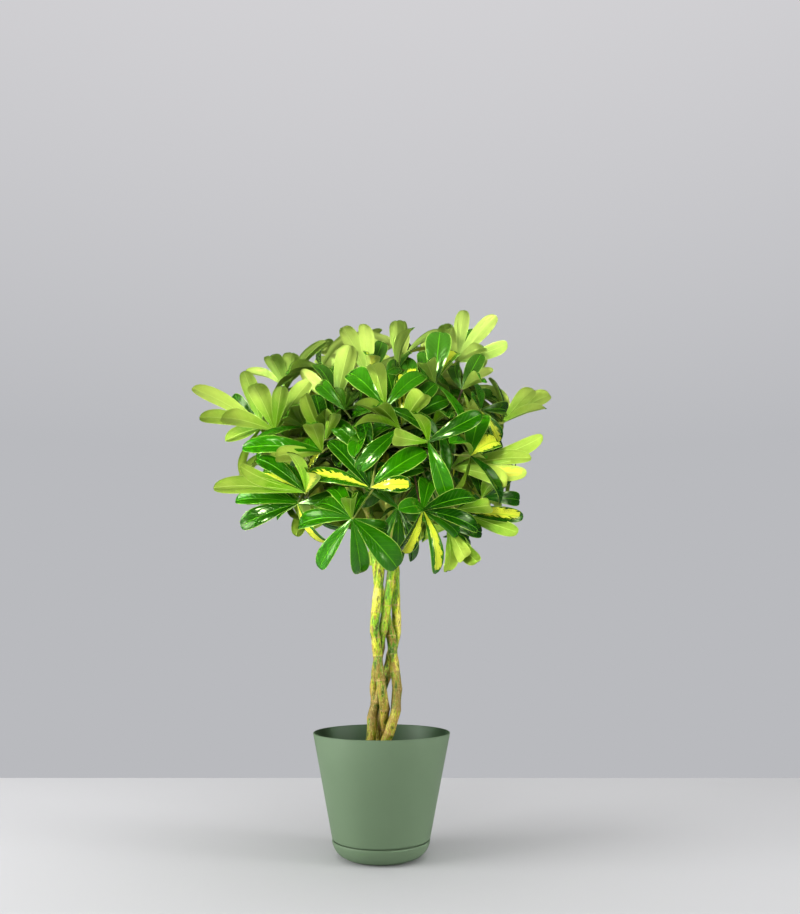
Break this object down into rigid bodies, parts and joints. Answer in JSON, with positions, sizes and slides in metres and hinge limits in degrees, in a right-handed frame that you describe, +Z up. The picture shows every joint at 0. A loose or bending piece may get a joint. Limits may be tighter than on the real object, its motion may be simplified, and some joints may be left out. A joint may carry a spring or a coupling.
{
  "type": "potted umbrella tree",
  "caption": "Dwarf umbrella tree with a braided trunk and a dense round crown of palm-shaped leaves, in a sage green pot with a saucer.",
  "frame": {"origin": "centre of the saucer's underside, on the surface that the pot stands on", "axes": "+Z up along the pot's axis; the front of the plant faces -Y and +X is to the right of someone looking at the front"},
  "size_m": [0.4864, 0.4404, 0.7242],
  "materials": {
    "sage_plastic": "matt, moulded",
    "potting_soil": "loose dark potting mix, matt",
    "bark": "living bark, mottled tan and green, satin",
    "leaf": "living leaf, waxy and glossy above, pale and satin below"
  },
  "bodies": {
    "root": {"saucer": "sage_plastic", "pot": "sage_plastic", "soil": "potting_soil", "stem_1": "bark", "stem_2": "bark", "stem_3": "bark", "stem_4": "bark", "shoot_01": "leaf", "shoot_02": "leaf", "shoot_03": "leaf", "shoot_04": "leaf", "shoot_05": "leaf", "shoot_06": "leaf", "shoot_07": "leaf", "shoot_08": "leaf", "shoot_09": "leaf", "shoot_10": "leaf", "shoot_11": "leaf", "shoot_12": "leaf"}
  },
  "joints": []
}
